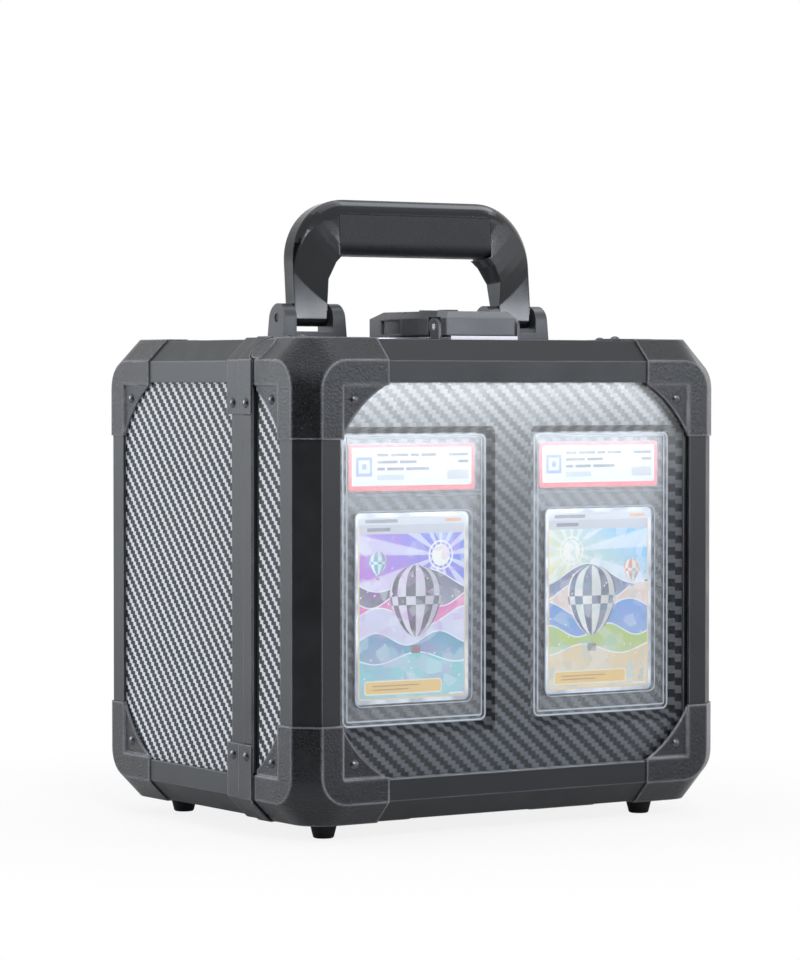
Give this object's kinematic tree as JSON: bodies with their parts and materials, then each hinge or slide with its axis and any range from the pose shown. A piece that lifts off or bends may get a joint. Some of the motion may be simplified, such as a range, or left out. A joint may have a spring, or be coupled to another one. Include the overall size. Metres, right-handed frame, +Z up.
{
  "type": "trading card display case",
  "caption": "Boxy carry case for graded trading cards with bevelled edges, capped corners, a windowed lid, folding handle and combination latch",
  "frame": {"origin": "middle of the case's footprint, on the plane that the four feet stand on", "axes": "+Z up, -Y towards the windowed front, +X to the right when seen from the front"},
  "size_m": [0.2454, 0.188, 0.2986],
  "materials": {
    "weave_panel": "black and silver twill laminate",
    "display_weave": "dark twill film on a formed tray",
    "edge_strip": "extruded, black satin coat",
    "corner_cap": "pressed steel, black powder coat",
    "rivet": "dark domed rivets",
    "foot_rubber": "moulded rubber",
    "screw_steel": "plain steel",
    "foam": "closed-cell foam",
    "hinge_paint": "black painted leaves",
    "bracket": "black satin casting",
    "bright_plate": "polished plate",
    "latch_paint": "fine black texture coat",
    "dial": "moulded number wheels",
    "handle_gloss": "glossy black moulding",
    "handle_grip": "fine textured grip",
    "pane": "clear acrylic",
    "seal": "soft black seal",
    "holder_clear": "clear polystyrene holder",
    "card_print": "printed card stock",
    "label_print": "printed paper label"
  },
  "bodies": {
    "body": {"left_panel": "weave_panel", "right_panel": "weave_panel", "top_panel": "weave_panel", "bottom_panel": "weave_panel", "back_panel": "weave_panel", "depth_edge_strips": "edge_strip", "rear_edge_strips": "edge_strip", "mouth_rim_strips": "edge_strip", "rear_top_left_cap": "corner_cap", "rear_top_right_cap": "corner_cap", "rear_bottom_left_cap": "corner_cap", "rear_bottom_right_cap": "corner_cap", "seam_strap_top_left": "corner_cap", "seam_strap_top_right": "corner_cap", "seam_strap_bottom_left": "corner_cap", "seam_strap_bottom_right": "corner_cap", "body_rivets": "rivet", "rear_feet": "foot_rubber", "rear_foot_screws": "screw_steel", "foam_lining": "foam", "hinge_body_leaves": "hinge_paint", "hinge_pins": "screw_steel", "handle_bracket_left": "bracket", "handle_bracket_right": "bracket", "bracket_screws": "screw_steel", "handle_pivot_pins": "screw_steel", "lock_base_plate": "bright_plate", "lock_housing": "latch_paint", "dial_axle": "screw_steel"},
    "lid": {"lid_top_edge_strip": "edge_strip", "lid_bottom_edge_strip": "edge_strip", "lid_left_edge_strip": "edge_strip", "lid_right_edge_strip": "edge_strip", "lid_top_left_cap": "corner_cap", "lid_top_right_cap": "corner_cap", "lid_bottom_left_cap": "corner_cap", "lid_bottom_right_cap": "corner_cap", "lid_side_panels": "weave_panel", "lid_top_and_bottom_panels": "weave_panel", "window_pane": "pane", "display_tray": "display_weave", "seam_seal": "seal", "lid_rivets": "rivet", "front_feet": "foot_rubber", "front_foot_screws": "screw_steel", "hinge_lid_leaves": "hinge_paint", "latch_lid_plate": "bright_plate", "hasp_cheeks": "latch_paint", "hasp_pin": "screw_steel", "left_card_holder": "holder_clear", "right_card_holder": "holder_clear", "cards": "card_print", "card_labels": "label_print"},
    "handle": {"handle_frame": "handle_gloss", "handle_grip": "handle_grip"},
    "hasp": {"latch_hasp": "latch_paint"},
    "dial_left": {"number_dial_left": "dial"},
    "dial_middle": {"number_dial_middle": "dial"},
    "dial_right": {"number_dial_right": "dial"},
    "release": {"release_slide": "latch_paint"}
  },
  "joints": [
    {"name": "lid_hinge", "type": "hinge", "parent": "body", "child": "lid", "pos_m": [0, -0.0506, 0.006], "axis": [1, 0, 0], "range_deg": [0, 110]},
    {"name": "handle_swing", "type": "hinge", "parent": "body", "child": "handle", "pos_m": [0, 0, 0.2413], "axis": [1, 0, 0], "range_deg": [-85, 50]},
    {"name": "hasp_hinge", "type": "hinge", "parent": "lid", "child": "hasp", "pos_m": [0, -0.0547, 0.2369], "axis": [1, 0, 0], "range_deg": [0, 95]},
    {"name": "dial_left_turn", "type": "hinge", "parent": "body", "child": "dial_left", "pos_m": [-0.0043, -0.0177, 0.2393], "axis": [1, 0, 0], "continuous": true},
    {"name": "dial_middle_turn", "type": "hinge", "parent": "body", "child": "dial_middle", "pos_m": [0, -0.0177, 0.2393], "axis": [1, 0, 0], "continuous": true},
    {"name": "dial_right_turn", "type": "hinge", "parent": "body", "child": "dial_right", "pos_m": [0.0043, -0.0177, 0.2393], "axis": [1, 0, 0], "continuous": true},
    {"name": "release_slide_travel", "type": "slide", "parent": "body", "child": "release", "axis": [0, 1, 0], "range_m": [0, 0.0035], "stiffness_N_per_m": 150}
  ]
}
